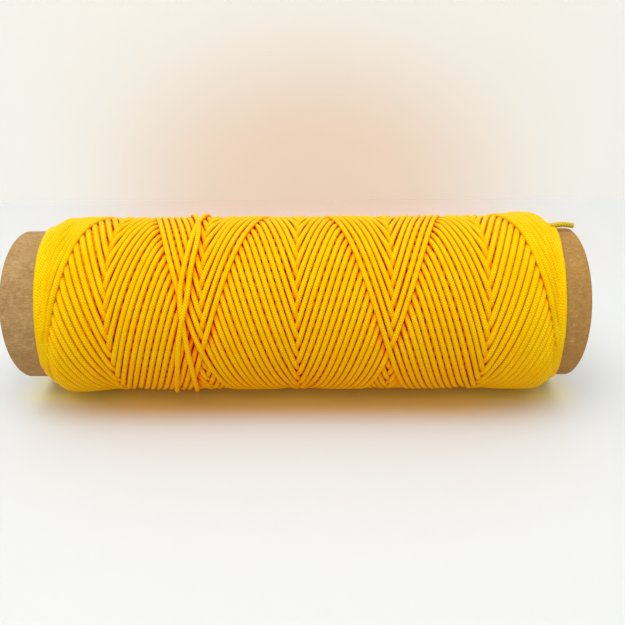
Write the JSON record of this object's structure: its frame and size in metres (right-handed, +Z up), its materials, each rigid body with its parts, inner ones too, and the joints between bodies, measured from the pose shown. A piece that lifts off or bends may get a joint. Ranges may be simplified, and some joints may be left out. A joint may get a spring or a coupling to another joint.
{
  "type": "fishing line spool",
  "caption": "Braided fishing line cross-wound in a precision pattern on a plain spiral-wound paper tube with a through bore, lying on its winding.",
  "frame": {"origin": "centre of the tube's bore, at the middle of the tube's length", "axes": "+X along the tube, towards the end where the line's cut start shows; +Z up, as the spool lies on its winding"},
  "size_m": [0.11, 0.0362, 0.0361],
  "materials": {
    "kraft_paper": "matte",
    "yellow_line": "satin"
  },
  "bodies": {
    "root": {"inner_ply": "kraft_paper", "second_ply": "kraft_paper", "third_ply": "kraft_paper", "fourth_ply": "kraft_paper", "fifth_ply": "kraft_paper", "outer_ply": "kraft_paper", "inner_layers": "yellow_line", "outer_turns": "yellow_line", "start_tail": "yellow_line"}
  },
  "joints": []
}
